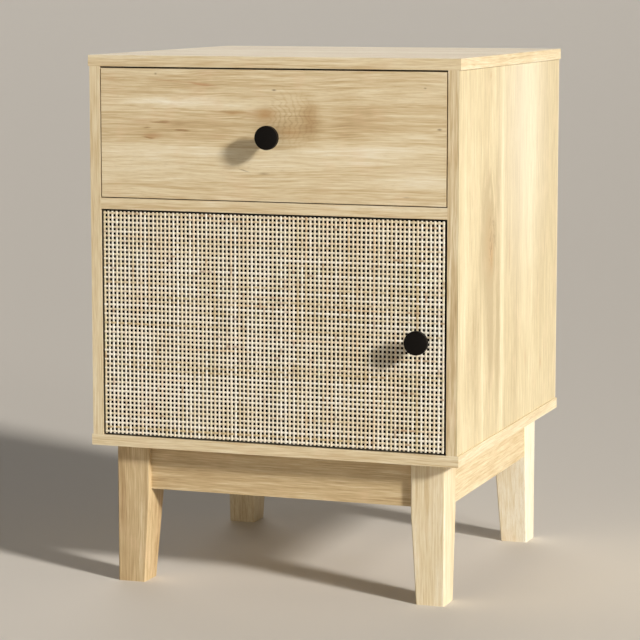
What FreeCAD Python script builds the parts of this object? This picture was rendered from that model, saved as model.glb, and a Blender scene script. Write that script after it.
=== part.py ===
"""Nightstand with one drawer and one cane-fronted door on four tapered legs.

Millimetres, +Z up, front towards -Y, right-hand side towards +X. The origin is on the floor,
at the centre of the bounding box, knobs included. Every function returns the shape of one
sub-part, and build() writes one STEP file per sub-part.
"""

import FreeCAD
import Part
import math
import os

# ---- overall size ----
WIDTH = 400.0
DEPTH = 395.0
HEIGHT = 555.0
BOARD = 11.5
LEG_HEIGHT = 148.0
SIDE_STEP = 1.5           # the top and bottom boards stand past the side panels by this much
KNOB_REACH = 22.0         # how far a knob stands out of the front face

# ---- places worked out from the overall size ----
FRONT = (KNOB_REACH - DEPTH) / 2
BACK = FRONT + DEPTH
MIDDLE = (FRONT + BACK) / 2
HALF_WIDTH = WIDTH / 2
OUTER_X = HALF_WIDTH - SIDE_STEP
INNER_X = OUTER_X - BOARD
FLOOR_Z = LEG_HEIGHT + BOARD      # inside floor of the cupboard
CEILING_Z = HEIGHT - BOARD        # inside ceiling of the drawer bay
DOOR_OPENING = 237.0
DIVIDER_Z = FLOOR_Z + DOOR_OPENING
BAY_Z = DIVIDER_Z + BOARD         # inside floor of the drawer bay

# ---- back panel ----
BACK_PANEL = 3.0
BACK_RECESS = 0.5
PANEL_BACK_Y = BACK - BACK_RECESS
INSIDE_BACK_Y = PANEL_BACK_Y - BACK_PANEL

# ---- drawer front and door ----
FRONT_THICK = 15.0
DRAWER_GAP_SIDE = 1.4
DRAWER_GAP_TOP = 1.8
DRAWER_GAP_BOTTOM = 1.1
DOOR_GAP = 1.4
CANE = 1.2
CANE_INSET = 0.4
DRAWER_KNOB = (2.8, 474.6)        # x, z
DOOR_KNOB = (160.5, 274.4)        # x, z
KNOB_FOOT = 6.0                   # radius
KNOB_NECK = (5.0, 4.0)            # radius and distance out, as for the next three
KNOB_BELL = (7.4, 11.0)
KNOB_FLARE = (12.1, 14.8)
KNOB_WIDEST = (12.25, 17.6)
KNOB_RIM = 12.0                   # radius of the domed face
KNOB_DOME = 1.8                   # how far the middle of the face stands past its rim
KNOB_SCREW_BITE = 9.0

# ---- legs and aprons ----
LEG_INSET = 20.0
LEG_TOP_X = 36.0
LEG_TOP_Y = 40.0
FOOT_X = 30.0
FOOT_Y = 32.0
TAPER_START_Z = 92.0
LEG_ROUND = 1.5
APRON = 18.0
APRON_HEIGHT = 48.0
APRON_Z = LEG_HEIGHT - APRON_HEIGHT
LONG_APRON_SETBACK = 6.0
SIDE_APRON_SETBACK = 1.5
APRON_SCREW_IN_APRON = 22.0
APRON_SCREW_IN_BOARD = 9.0
APRON_SCREW_SPREAD = 80.0
LEG_OUTER_X = HALF_WIDTH - LEG_INSET
LEG_INNER_X = LEG_OUTER_X - LEG_TOP_X
LEG_FRONT_Y = FRONT + LEG_INSET
LEG_REAR_Y = LEG_FRONT_Y + LEG_TOP_Y

# ---- corner brackets and their hanger bolts ----
BRACKET_SHEET = 2.0
BRACKET_OFFSET = 12.0             # x + y of the diagonal plate, from the leg's inner corner
BRACKET_FLANGE = 22.0
BRACKET_BEND = 45.0               # degrees
BRACKET_SCREW = 13.0              # from a flange's bend to its screw
BRACKET_MARGIN = 6.0              # of apron left bare above and below a bracket
BRACKET_LOW = APRON_Z + BRACKET_MARGIN
BRACKET_HIGH = LEG_HEIGHT - BRACKET_MARGIN
BOLT_Z = (BRACKET_LOW + BRACKET_HIGH) / 2
BOLT_RADIUS = 3.0
BOLT_IN_LEG = 30.0
BOLT_OUT = 22.0
NUT_ACROSS = 10.0
NUT_HEIGHT = 5.0
NUT_SIDES = 6

# ---- small screws, nails, cams and dowels ----
SCREW_SHANK = 1.75
SCREW_HEAD = 3.5
SCREW_HEAD_HEIGHT = 1.5
SCREW_BITE = 10.0
SUNK_HEAD = 3.0
NAIL_RADIUS = 0.8
NAIL_HEAD = 2.0
NAIL_HEAD_HEIGHT = 0.4
NAIL_BITE = 10.0
NAIL_FROM_END = 25.0
NAIL_ROWS = 5
NAIL_SPREAD = 110.0
CAM_RADIUS = 6.0
CAM_DEPTH = 9.0
CAM_SETBACK = 24.0
CAM_PIN = 2.0
CAM_PIN_HEAD = 3.0
CAM_PIN_HEAD_HEIGHT = 2.5
CAM_PIN_BITE = 9.0
CAM_SLOT_LONG = 8.0
CAM_SLOT_WIDE = 1.4
CAM_SLOT_DEEP = 2.0
DOWEL_RADIUS = 3.0
DOWEL_IN_BOARD = 8.0
DOWEL_IN_EDGE = 16.0
CAM_FROM_EDGE = 48.0
DOWEL_FROM_EDGE = 20.0
CAM_ROWS_Y = (FRONT + CAM_FROM_EDGE, INSIDE_BACK_Y - CAM_FROM_EDGE)
DOWEL_ROWS_Y = (FRONT + DOWEL_FROM_EDGE, INSIDE_BACK_Y - DOWEL_FROM_EDGE)

# ---- drawer box ----
SLIDE_SPACE = 12.7                # between the side panel and the drawer side
BOX_SIDE = 12.0
BOX_DEPTH = 350.0
BOX_HEIGHT = 100.0
BOX_LOW = BAY_Z + 14.0
BOX_HIGH = BOX_LOW + BOX_HEIGHT
BOX_OUTER_X = INNER_X - SLIDE_SPACE
BOX_INNER_X = BOX_OUTER_X - BOX_SIDE
BOX_FRONT_Y = FRONT + FRONT_THICK
BOX_BACK_Y = BOX_FRONT_Y + BOX_DEPTH
GROOVE_DEPTH = 5.0
GROOVE_Z = BOX_LOW + 8.0
BOX_FLOOR = 3.0
BOX_CAM_FROM_EDGE = 22.0
BOX_SCREW_HEIGHTS = (30.0, 82.0)     # above the lower edge of the drawer sides
BOX_SCREW_LENGTH = 32.0
BOX_FLOOR_SCREWS_X = (-100.0, 0.0, 100.0)

# ---- telescopic slides, measured inwards (u) from the side panel ----
SLIDE_LENGTH = 350.0
SLIDE_SETBACK = 2.0
SLIDE_FRONT_Y = BOX_FRONT_Y + SLIDE_SETBACK
DRAWER_RAIL_LENGTH = BOX_DEPTH - SLIDE_SETBACK
SLIDE_Z = BOX_LOW + 35.0
STEEL = 1.2
OUTER_HALF = 17.5
OUTER_LIP_U = 9.0
MIDDLE_U = 3.4
MIDDLE_HALF = 13.1
MIDDLE_LIP_U = 10.3
DRAWER_RAIL_HALF = 8.7
DRAWER_RAIL_LIP_U = 6.4
BALL_RADIUS = 1.5
BALL_PITCH = 18.0
CAGE_LENGTH = 150.0
CAGE_FRONT_Y = SLIDE_FRONT_Y + 100.0
CAGE_SHEET = 0.6
OUTER_CAGE_U = 2.0
OUTER_BALL_U = 6.2
INNER_CAGE_U = 5.2
INNER_BALL_U = 8.4
RAIL_SCREWS = (30.0, 175.0, 320.0)   # from the slide's front end

# ---- hinges, measured inwards (u) from the side panel and back (v) from the front face ----
HINGE_FROM_END = 60.0
PIN_U = 14.0
PIN_V = 6.6
PIN_RADIUS = 1.5
PIN_HALF = 13.7
PIN_CLEARANCE = 0.05
CURL_RADIUS = 2.6
CUP_U = 23.3
CUP_RADIUS = 17.5
CUP_DEPTH = 12.5
CUP_WALL = 0.8
FLANGE = 1.0
FLANGE_LEFT = 18.0
FLANGE_RIGHT = 14.5
FLANGE_HALF = 32.0
CUP_SCREW_U = 32.8
CUP_SCREW_Z = 22.5
ARM_SHEET = 2.0
ARM_HALF = 5.5
ARM_REACH_U = 26.8
ARM_REACH_V = 24.0
ARM_END_V = 78.0
PLATE_THICK = 2.5
PLATE_V = (44.0, 82.0)
PLATE_WING_V = (54.0, 72.0)
PLATE_HALF = 6.5
WING_HALF = 20.0
WING_SCREW_Z = 14.0
ARM_SCREW_RADIUS = 2.5
ARM_SCREW_HEAD = 4.0
ARM_SCREW_HEAD_HEIGHT = 2.0

# ---- magnetic catch ----
CATCH_X = 140.0
CATCH_BODY_X = 38.0
CATCH_FEET_X = 62.0
CATCH_DROP = 13.0
CATCH_FOOT = 2.0
CATCH_DEPTH = 15.0
CATCH_GAP = 0.3
CATCH_SCREW_X = 25.0
STRIKE = 0.8
STRIKE_X = 36.0
STRIKE_HIGH = 9.0
STRIKE_RISE = 1.5

X = FreeCAD.Vector(1, 0, 0)
Y = FreeCAD.Vector(0, 1, 0)
Z = FreeCAD.Vector(0, 0, 1)
ORIGIN = FreeCAD.Vector(0, 0, 0)


# ---- plain shapes ----
def box(x, y, z):
    """A block from (low, high) pairs along the three axes, in either order."""
    low = FreeCAD.Vector(min(x), min(y), min(z))
    return Part.makeBox(max(x) - low.x, max(y) - low.y, max(z) - low.z, low)


def rod(x, y, z, radius, length, along):
    """A cylinder from a point, along a direction."""
    return Part.makeCylinder(radius, length, FreeCAD.Vector(x, y, z), along)


def cone(x, y, z, radius, end_radius, length, along):
    return Part.makeCone(radius, end_radius, length, FreeCAD.Vector(x, y, z), along)


def joined(shapes):
    """One solid from shapes that touch or overlap."""
    return shapes[0].fuse(shapes[1:]).removeSplitter()


def group(shapes):
    """Separate solids kept in one sub-part."""
    return Part.makeCompound([solid for shape in shapes for solid in shape.Solids])


def mirror_x(shape):
    return shape.mirror(ORIGIN, X)


def mirror_y(shape):
    return shape.mirror(FreeCAD.Vector(0, MIDDLE, 0), Y)


def left_and_right(shape):
    return [shape, mirror_x(shape)]


def four_corners(shape):
    """A front-left shape, repeated at the front right, rear left and rear right."""
    return left_and_right(shape) + left_and_right(mirror_y(shape))


def cut_by(shape, tools):
    """The shape with holes where the separate solids in tools pass through it."""
    near = [tool for tool in tools if shape.BoundBox.intersect(tool.BoundBox)]
    return shape.cut(near) if near else shape


def extruded(points, along):
    """A prism over a closed outline of points in one plane."""
    return Part.Face(Part.makePolygon(points + points[:1])).extrude(along)


# ---- fastener shapes ----
def pan_screw(x, y, z, along, bite):
    """A screw whose head's underside is at the point, and whose shank goes on along the direction."""
    head = rod(x, y, z, SCREW_HEAD, SCREW_HEAD_HEIGHT, along * -1)
    return joined([head, rod(x, y, z, SCREW_SHANK, bite, along)])


def sunk_screw(x, y, z, along, sheet, bite):
    """A countersunk screw whose head fills a sheet and is level with its face at the point."""
    head = cone(x, y, z, SUNK_HEAD, SCREW_SHANK, sheet, along)
    return joined([head, rod(x, y, z, SCREW_SHANK, bite, along)])


def cam_pin(x, y, z, along):
    """A cam bolt that is screwed back into a board from the point, and ends at the cam's centre."""
    neck = CAM_SETBACK - CAM_PIN_HEAD_HEIGHT
    tip = FreeCAD.Vector(x, y, z) + along * neck
    shank = rod(x, y, z, CAM_PIN, neck, along)
    thread = rod(x, y, z, CAM_PIN_HEAD, CAM_PIN_BITE, along * -1)
    return joined([shank, thread, rod(tip.x, tip.y, tip.z, CAM_PIN_HEAD, CAM_PIN_HEAD_HEIGHT, along)])


def cam_lock(x, y, z, inwards, slot_along):
    """A cam disc whose slotted face is at the point, sunk into the board that it holds."""
    disc = rod(x, y, z, CAM_RADIUS, CAM_DEPTH, inwards)
    across = inwards.cross(slot_along)
    start = FreeCAD.Vector(x, y, z) - slot_along * (CAM_SLOT_LONG / 2) - across * (CAM_SLOT_WIDE / 2)
    corners = [start, start + slot_along * CAM_SLOT_LONG]
    corners += [corners[1] + across * CAM_SLOT_WIDE, start + across * CAM_SLOT_WIDE]
    return disc.cut(extruded(corners, inwards * CAM_SLOT_DEEP))


# ---- carcass fasteners ----
def carcass_cam_pins():
    """Bolts from the top and bottom boards into the side panels, and from the sides into the divider."""
    mid_side = INNER_X + BOARD / 2
    mid_divider = DIVIDER_Z + BOARD / 2
    pins = []
    for y in CAM_ROWS_Y:
        pins += left_and_right(cam_pin(-mid_side, y, FLOOR_Z, Z))
        pins += left_and_right(cam_pin(-mid_side, y, CEILING_Z, Z * -1))
        pins += left_and_right(cam_pin(-INNER_X, y, mid_divider, X))
    return pins


def carcass_cam_locks():
    locks = []
    for y in CAM_ROWS_Y:
        for z in (FLOOR_Z + CAM_SETBACK, CEILING_Z - CAM_SETBACK):
            locks += left_and_right(cam_lock(-INNER_X, y, z, X * -1, Z))
        locks += left_and_right(cam_lock(-INNER_X + CAM_SETBACK, y, DIVIDER_Z, Z, X))
    return [cut_by(lock, carcass_cam_pins()) for lock in locks]


def carcass_dowels():
    mid_side = INNER_X + BOARD / 2
    mid_divider = DIVIDER_Z + BOARD / 2
    length = DOWEL_IN_BOARD + DOWEL_IN_EDGE
    dowels = []
    for y in DOWEL_ROWS_Y:
        dowels += left_and_right(rod(-mid_side, y, FLOOR_Z - DOWEL_IN_BOARD, DOWEL_RADIUS, length, Z))
        dowels += left_and_right(rod(-mid_side, y, CEILING_Z - DOWEL_IN_EDGE, DOWEL_RADIUS, length, Z))
        dowels += left_and_right(rod(-INNER_X - DOWEL_IN_BOARD, y, mid_divider, DOWEL_RADIUS, length, X))
    return dowels


def back_nails():
    """Nails through the back panel into the rear edges of the sides and the divider."""
    mid_side = INNER_X + BOARD / 2
    first = FLOOR_Z + NAIL_FROM_END
    step = (CEILING_Z - NAIL_FROM_END - first) / (NAIL_ROWS - 1)
    places = [(side * mid_side, first + row * step) for row in range(NAIL_ROWS) for side in (-1, 1)]
    places += [(side * NAIL_SPREAD, DIVIDER_Z + BOARD / 2) for side in (-1, 0, 1)]
    nails = []
    for x, z in places:
        head = rod(x, PANEL_BACK_Y, z, NAIL_HEAD, NAIL_HEAD_HEIGHT, Y)
        shank = rod(x, PANEL_BACK_Y, z, NAIL_RADIUS, BACK_PANEL + NAIL_BITE, Y * -1)
        nails.append(joined([head, shank]))
    return nails


def rail_screws(u, along, sheet):
    """Screws of the left slide: heads level with the sheet at u, shanks into the wood."""
    start = -INNER_X + u
    return [
        sunk_screw(start, SLIDE_FRONT_Y + at, SLIDE_Z, along, sheet, SCREW_BITE)
        for at in RAIL_SCREWS
    ]


def cabinet_rail_screws():
    return [screw for one in rail_screws(STEEL, X * -1, STEEL) for screw in left_and_right(one)]


def drawer_rail_screws():
    u = SLIDE_SPACE - STEEL
    return [screw for one in rail_screws(u, X, STEEL) for screw in left_and_right(one)]


def hinge_heights():
    low = FLOOR_Z + DOOR_GAP + HINGE_FROM_END
    high = DIVIDER_Z - DOOR_GAP - HINGE_FROM_END
    return {"lower": low, "upper": high}


def cabinet_wood_screws():
    """Pan-head screws of the hinge plates, the magnetic catch and the corner brackets."""
    screws = []
    wing_v = sum(PLATE_WING_V) / 2
    for height in hinge_heights().values():
        for side in (-1, 1):
            z = height + side * WING_SCREW_Z
            screws.append(pan_screw(-INNER_X + PLATE_THICK, FRONT + wing_v, z, X * -1, SCREW_BITE))
    for side in (-1, 1):
        x = CATCH_X + side * CATCH_SCREW_X
        screws.append(pan_screw(x, catch_front() + CATCH_DEPTH / 2, DIVIDER_Z - CATCH_FOOT, Z, SCREW_BITE))
    return screws + bracket_screws()


# ---- carcass boards ----
def flat_board(low_z):
    return box((-HALF_WIDTH, HALF_WIDTH), (FRONT, BACK), (low_z, low_z + BOARD))


def carcass_fasteners():
    return carcass_cam_pins() + carcass_dowels()


def top_panel():
    return cut_by(flat_board(CEILING_Z), carcass_fasteners())


def bottom_panel():
    return cut_by(flat_board(LEG_HEIGHT), carcass_fasteners() + apron_screws())


def left_side():
    side = box((-OUTER_X, -INNER_X), (FRONT, INSIDE_BACK_Y), (FLOOR_Z, CEILING_Z))
    locks = [rod(-INNER_X, y, z, CAM_RADIUS, CAM_DEPTH, X * -1)
             for y in CAM_ROWS_Y
             for z in (FLOOR_Z + CAM_SETBACK, CEILING_Z - CAM_SETBACK)]
    return cut_by(side, carcass_fasteners() + back_nails() + cabinet_rail_screws() + locks)


def left_side_panel():
    return cut_by(left_side(), cabinet_wood_screws())


def right_side_panel():
    return mirror_x(left_side())


def divider_panel():
    divider = box((-INNER_X, INNER_X), (FRONT, INSIDE_BACK_Y), (DIVIDER_Z, BAY_Z))
    locks = [one for y in CAM_ROWS_Y
             for one in left_and_right(rod(-INNER_X + CAM_SETBACK, y, DIVIDER_Z, CAM_RADIUS, CAM_DEPTH, Z))]
    return cut_by(divider, carcass_fasteners() + back_nails() + cabinet_wood_screws() + locks)


def back_panel():
    sheet = box((-OUTER_X, OUTER_X), (INSIDE_BACK_Y, PANEL_BACK_Y), (FLOOR_Z, CEILING_Z))
    return cut_by(sheet, back_nails())


# ---- legs and aprons ----
def rounded_outline(x, y, z):
    """A closed rectangle with rounded corners, from (low, high) pairs, at a height."""
    corners = [(x[0], y[0], 180), (x[1], y[0], 270), (x[1], y[1], 0), (x[0], y[1], 90)]
    arcs = []
    for corner_x, corner_y, start in corners:
        centre_x = corner_x + LEG_ROUND * (1 if corner_x == x[0] else -1)
        centre_y = corner_y + LEG_ROUND * (1 if corner_y == y[0] else -1)
        circle = Part.Circle(FreeCAD.Vector(centre_x, centre_y, z), Z, LEG_ROUND)
        arcs.append(Part.Arc(circle, math.radians(start), math.radians(start + 90)))
    edges = []
    for arc, following in zip(arcs, arcs[1:] + arcs[:1]):
        edges += [arc.toShape(), Part.LineSegment(arc.EndPoint, following.StartPoint).toShape()]
    return Part.Wire(edges)


def front_left_leg():
    """A leg with two upright outer faces and two inner faces that taper below TAPER_START_Z."""
    x, y = -LEG_OUTER_X, LEG_FRONT_Y
    foot = rounded_outline((x, x + FOOT_X), (y, y + FOOT_Y), 0)
    start = rounded_outline((x, x + LEG_TOP_X), (y, y + LEG_TOP_Y), TAPER_START_Z)
    top = rounded_outline((x, x + LEG_TOP_X), (y, y + LEG_TOP_Y), LEG_HEIGHT)
    lower = Part.makeLoft([foot, start], True, True)
    upper = Part.makeLoft([start, top], True, True)
    return cut_by(joined([lower, upper]), [hanger_bolt()])


def front_apron():
    y = LEG_FRONT_Y + LONG_APRON_SETBACK
    apron = box((-LEG_INNER_X, LEG_INNER_X), (y, y + APRON), (APRON_Z, LEG_HEIGHT))
    return cut_by(apron, apron_screws() + bracket_screws())


def left_apron():
    x = -LEG_OUTER_X + SIDE_APRON_SETBACK
    rear_leg_front = 2 * MIDDLE - LEG_REAR_Y
    apron = box((x, x + APRON), (LEG_REAR_Y, rear_leg_front), (APRON_Z, LEG_HEIGHT))
    return cut_by(apron, apron_screws() + bracket_screws())


def apron_screw(x, y):
    """A long screw up through an apron from a counterbore into the bottom board."""
    head_z = LEG_HEIGHT - APRON_SCREW_IN_APRON
    head = rod(x, y, head_z - SCREW_HEAD_HEIGHT, SCREW_HEAD, SCREW_HEAD_HEIGHT, Z)
    shank = rod(x, y, head_z, SCREW_SHANK, APRON_SCREW_IN_APRON + APRON_SCREW_IN_BOARD, Z)
    well = rod(x, y, APRON_Z, SCREW_HEAD, head_z - SCREW_HEAD_HEIGHT - APRON_Z, Z)
    return joined([head, shank]), well


def apron_screw_places():
    long_y = LEG_FRONT_Y + LONG_APRON_SETBACK + APRON / 2
    side_x = LEG_OUTER_X - SIDE_APRON_SETBACK - APRON / 2
    return [(-APRON_SCREW_SPREAD, long_y), (-side_x, MIDDLE - APRON_SCREW_SPREAD)]


def apron_screws(part=0):
    """All apron screws (part 0), or the open wells below their heads (part 1)."""
    return [one for x, y in apron_screw_places() for one in four_corners(apron_screw(x, y)[part])]


# ---- corner brackets ----
def corner_point(across, back, z=BRACKET_LOW):
    """A point from the front-left leg's inner corner, as (across, back)."""
    return FreeCAD.Vector(-LEG_INNER_X + across, LEG_REAR_Y + back, z)


def bracket_corners():
    """Where the bracket's diagonal meets the side apron and the front apron."""
    side_face = APRON + SIDE_APRON_SETBACK - LEG_TOP_X
    front_face = LONG_APRON_SETBACK + APRON - LEG_TOP_Y
    return (side_face, BRACKET_OFFSET - side_face), (BRACKET_OFFSET - front_face, front_face)


def corner_bracket():
    """Sheet steel across a corner, with a flange on each apron and a hole for the hanger bolt."""
    (side_x, side_y), (front_x, front_y) = bracket_corners()
    slant = BRACKET_SHEET * math.tan(math.radians(BRACKET_BEND / 2))
    outline = [
        corner_point(side_x, side_y),
        corner_point(side_x, side_y + BRACKET_FLANGE),
        corner_point(side_x + BRACKET_SHEET, side_y + BRACKET_FLANGE),
        corner_point(side_x + BRACKET_SHEET, side_y + slant),
        corner_point(front_x + slant, front_y + BRACKET_SHEET),
        corner_point(front_x + BRACKET_FLANGE, front_y + BRACKET_SHEET),
        corner_point(front_x + BRACKET_FLANGE, front_y),
        corner_point(front_x, front_y),
    ]
    sheet = extruded(outline, Z * (BRACKET_HIGH - BRACKET_LOW))
    return cut_by(sheet, [hanger_bolt()] + corner_screws())


def corner_screws():
    """The two screws of the front-left bracket, one through each flange."""
    (side_x, side_y), (front_x, front_y) = bracket_corners()
    side = corner_point(side_x + BRACKET_SHEET, side_y + BRACKET_SCREW, BOLT_Z)
    front = corner_point(front_x + BRACKET_SCREW, front_y + BRACKET_SHEET, BOLT_Z)
    return [
        pan_screw(side.x, side.y, side.z, X * -1, SCREW_BITE + BRACKET_SHEET),
        pan_screw(front.x, front.y, front.z, Y * -1, SCREW_BITE + BRACKET_SHEET),
    ]


def bracket_screws():
    return [one for screw in corner_screws() for one in four_corners(screw)]


def diagonal():
    """The direction from the front-left leg towards the middle of the cabinet."""
    return FreeCAD.Vector(1, 1, 0).normalize()


def hanger_bolt():
    start = corner_point(0, 0, BOLT_Z) - diagonal() * BOLT_IN_LEG
    return rod(start.x, start.y, start.z, BOLT_RADIUS, BOLT_IN_LEG + BOLT_OUT, diagonal())


def hanger_nut():
    """A hexagon nut against the inner side of the bracket."""
    reach = BRACKET_OFFSET / math.sqrt(2) + BRACKET_SHEET
    centre = corner_point(0, 0, BOLT_Z) + diagonal() * reach
    sideways = diagonal().cross(Z)
    radius = NUT_ACROSS / math.sqrt(3)
    corners = []
    for i in range(NUT_SIDES):
        angle = 2 * math.pi * i / NUT_SIDES
        corners.append(centre + sideways * (radius * math.cos(angle)) + Z * (radius * math.sin(angle)))
    return extruded(corners, diagonal() * NUT_HEIGHT).cut(hanger_bolt())


# ---- telescopic slides ----
def channel(low_u, high_u, half, lip_u, length, front_y=SLIDE_FRONT_Y):
    """A C-shaped rail: a web from low_u to high_u, and two lips at +-half that reach lip_u."""
    y = (front_y, front_y + length)
    web = box((-INNER_X + low_u, -INNER_X + high_u), y, (SLIDE_Z - half, SLIDE_Z + half))
    root_u = low_u if lip_u > low_u else high_u
    lip_x = (-INNER_X + root_u, -INNER_X + lip_u)
    lips = [box(lip_x, y, (SLIDE_Z + side * half, SLIDE_Z + side * (half - STEEL))) for side in (-1, 1)]
    return joined([web] + lips)


def left_cabinet_rail():
    return cut_by(channel(0, STEEL, OUTER_HALF, OUTER_LIP_U, SLIDE_LENGTH), cabinet_rail_screws())


def left_middle_rail():
    return channel(MIDDLE_U, MIDDLE_U + STEEL, MIDDLE_HALF, MIDDLE_LIP_U, SLIDE_LENGTH)


def left_drawer_rail():
    low_u = SLIDE_SPACE - STEEL
    rail = channel(low_u, SLIDE_SPACE, DRAWER_RAIL_HALF, DRAWER_RAIL_LIP_U, DRAWER_RAIL_LENGTH)
    return cut_by(rail, drawer_rail_screws())


def ball_cage(web_u, ball_u, ball_z):
    """A pressed strip that carries a row of balls above and a row below."""
    half = ball_z + CAGE_SHEET / 2
    y = (CAGE_FRONT_Y, CAGE_FRONT_Y + CAGE_LENGTH)
    web = box((-INNER_X + web_u, -INNER_X + web_u + CAGE_SHEET), y, (SLIDE_Z - half, SLIDE_Z + half))
    parts = [web]
    count = int(CAGE_LENGTH // BALL_PITCH)
    first = CAGE_FRONT_Y + (CAGE_LENGTH - BALL_PITCH * (count - 1)) / 2
    for side in (-1, 1):
        z = SLIDE_Z + side * ball_z
        lip_z = (z - CAGE_SHEET / 2, z + CAGE_SHEET / 2)
        parts.append(box((-INNER_X + web_u, -INNER_X + ball_u), y, lip_z))
        for i in range(count):
            centre = FreeCAD.Vector(-INNER_X + ball_u, first + i * BALL_PITCH, z)
            parts.append(Part.makeSphere(BALL_RADIUS, centre))
    return joined(parts)


def left_outer_ball_cage():
    return ball_cage(OUTER_CAGE_U, OUTER_BALL_U, (OUTER_HALF - STEEL + MIDDLE_HALF) / 2)


def left_inner_ball_cage():
    return ball_cage(INNER_CAGE_U, INNER_BALL_U, (MIDDLE_HALF - STEEL + DRAWER_RAIL_HALF) / 2)


# ---- drawer ----
def drawer_cam_pins():
    """Bolts from the drawer front into the front ends of its sides."""
    mid_side = BOX_INNER_X + BOX_SIDE / 2
    return [one for z in drawer_cam_heights()
            for one in left_and_right(cam_pin(-mid_side, BOX_FRONT_Y, z, Y))]


def drawer_cam_heights():
    return (BOX_LOW + BOX_CAM_FROM_EDGE, BOX_HIGH - BOX_CAM_FROM_EDGE)


def drawer_cam_locks():
    y = BOX_FRONT_Y + CAM_SETBACK
    locks = [one for z in drawer_cam_heights()
             for one in left_and_right(cam_lock(-BOX_INNER_X, y, z, X * -1, Y))]
    return [cut_by(lock, drawer_cam_pins()) for lock in locks]


def drawer_box_screws():
    """Screws through the drawer sides into the ends of the drawer back, and up through its floor."""
    y = BOX_BACK_Y - BOX_SIDE / 2
    screws = []
    for height in BOX_SCREW_HEIGHTS:
        screws += left_and_right(sunk_screw(-BOX_OUTER_X, y, BOX_LOW + height, X, STEEL, BOX_SCREW_LENGTH))
    for x in BOX_FLOOR_SCREWS_X:
        screws.append(sunk_screw(x, y, GROOVE_Z, Z, STEEL, BOX_FLOOR + SCREW_BITE))
    return screws


def drawer_front():
    low, high = BAY_Z + DRAWER_GAP_BOTTOM, CEILING_Z - DRAWER_GAP_TOP
    half = INNER_X - DRAWER_GAP_SIDE
    front = box((-half, half), (FRONT, BOX_FRONT_Y), (low, high))
    return cut_by(front, drawer_cam_pins() + [drawer_bottom(), knob_screw(DRAWER_KNOB)])


def drawer_left_side():
    side = box((-BOX_OUTER_X, -BOX_INNER_X), (BOX_FRONT_Y, BOX_BACK_Y), (BOX_LOW, BOX_HIGH))
    y = BOX_FRONT_Y + CAM_SETBACK
    wells = [rod(-BOX_INNER_X, y, z, CAM_RADIUS, CAM_DEPTH, X * -1) for z in drawer_cam_heights()]
    tools = drawer_cam_pins() + drawer_box_screws() + drawer_rail_screws() + wells + [drawer_bottom_sheet()]
    return cut_by(side, tools)


def drawer_back():
    y = (BOX_BACK_Y - BOX_SIDE, BOX_BACK_Y)
    back = box((-BOX_INNER_X, BOX_INNER_X), y, (GROOVE_Z + BOX_FLOOR, BOX_HIGH))
    return cut_by(back, drawer_box_screws())


def drawer_bottom_sheet():
    half = BOX_INNER_X + GROOVE_DEPTH
    return box((-half, half), (BOX_FRONT_Y - GROOVE_DEPTH, BOX_BACK_Y), (GROOVE_Z, GROOVE_Z + BOX_FLOOR))


def drawer_bottom():
    return cut_by(drawer_bottom_sheet(), drawer_box_screws())


# ---- knobs ----
def spot(radius, out):
    """A point of the knob's profile: its radius, and its distance out of the front face."""
    return FreeCAD.Vector(radius, -out, 0)


def knob_profile():
    """The half outline of a turned knob, from its narrow foot to the middle of its domed face."""
    foot, neck, flare = spot(KNOB_FOOT, 0), spot(*KNOB_NECK), spot(*KNOB_FLARE)
    rim = spot(KNOB_RIM, KNOB_REACH - KNOB_DOME)
    dome_radius = (rim.x ** 2 + KNOB_DOME ** 2) / (2 * KNOB_DOME)
    half_turn = math.asin(rim.x / dome_radius) / 2
    fall = dome_radius * (1 - math.cos(half_turn))
    dome_middle = spot(dome_radius * math.sin(half_turn), KNOB_REACH - fall)
    return [
        Part.LineSegment(spot(0, 0), foot),
        Part.LineSegment(foot, neck),
        Part.Arc(neck, spot(*KNOB_BELL), flare),
        Part.Arc(flare, spot(*KNOB_WIDEST), rim),
        Part.Arc(rim, dome_middle, spot(0, KNOB_REACH)),
        Part.LineSegment(spot(0, KNOB_REACH), spot(0, 0)),
    ]


def knob(place):
    x, z = place
    outline = Part.Wire([edge.toShape() for edge in knob_profile()])
    turned = Part.Face(outline).revolve(ORIGIN, Y, 360)
    turned.translate(FreeCAD.Vector(x, FRONT, z))
    return turned.cut(knob_screw(place))


def knob_screw(place):
    """A machine screw from inside, through the front, into the knob."""
    x, z = place
    return pan_screw(x, BOX_FRONT_Y, z, Y * -1, FRONT_THICK + KNOB_SCREW_BITE)


# ---- door ----
def door_slab(inset, y):
    half = INNER_X - DOOR_GAP - inset
    low, high = FLOOR_Z + DOOR_GAP + inset, DIVIDER_Z - DOOR_GAP - inset
    return box((-half, half), y, (low, high))


def door_panel():
    panel = door_slab(0, (FRONT + CANE, BOX_FRONT_Y))
    cups = [rod(-INNER_X + CUP_U, BOX_FRONT_Y, z, CUP_RADIUS, CUP_DEPTH, Y * -1)
            for z in hinge_heights().values()]
    return cut_by(panel, cups + door_wood_screws() + [knob_screw(DOOR_KNOB)])


def cane_webbing():
    """The woven sheet glued to the front of the door, as one flat piece."""
    return cut_by(door_slab(CANE_INSET, (FRONT, FRONT + CANE)), [knob_screw(DOOR_KNOB)])


def door_wood_screws():
    """Screws of the hinge cups, and the one of the catch's strike plate."""
    screws = []
    for height in hinge_heights().values():
        for side in (-1, 1):
            z = height + side * CUP_SCREW_Z
            screws.append(pan_screw(-INNER_X + CUP_SCREW_U, BOX_FRONT_Y + FLANGE, z, Y * -1, SCREW_BITE))
    z = strike_z() + STRIKE_HIGH / 2
    screws.append(sunk_screw(CATCH_X, BOX_FRONT_Y + STRIKE, z, Y * -1, STRIKE, SCREW_BITE))
    return screws


# ---- hinges ----
def at_hinge(u, v, height):
    return FreeCAD.Vector(-INNER_X + u, FRONT + v, height)


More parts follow.
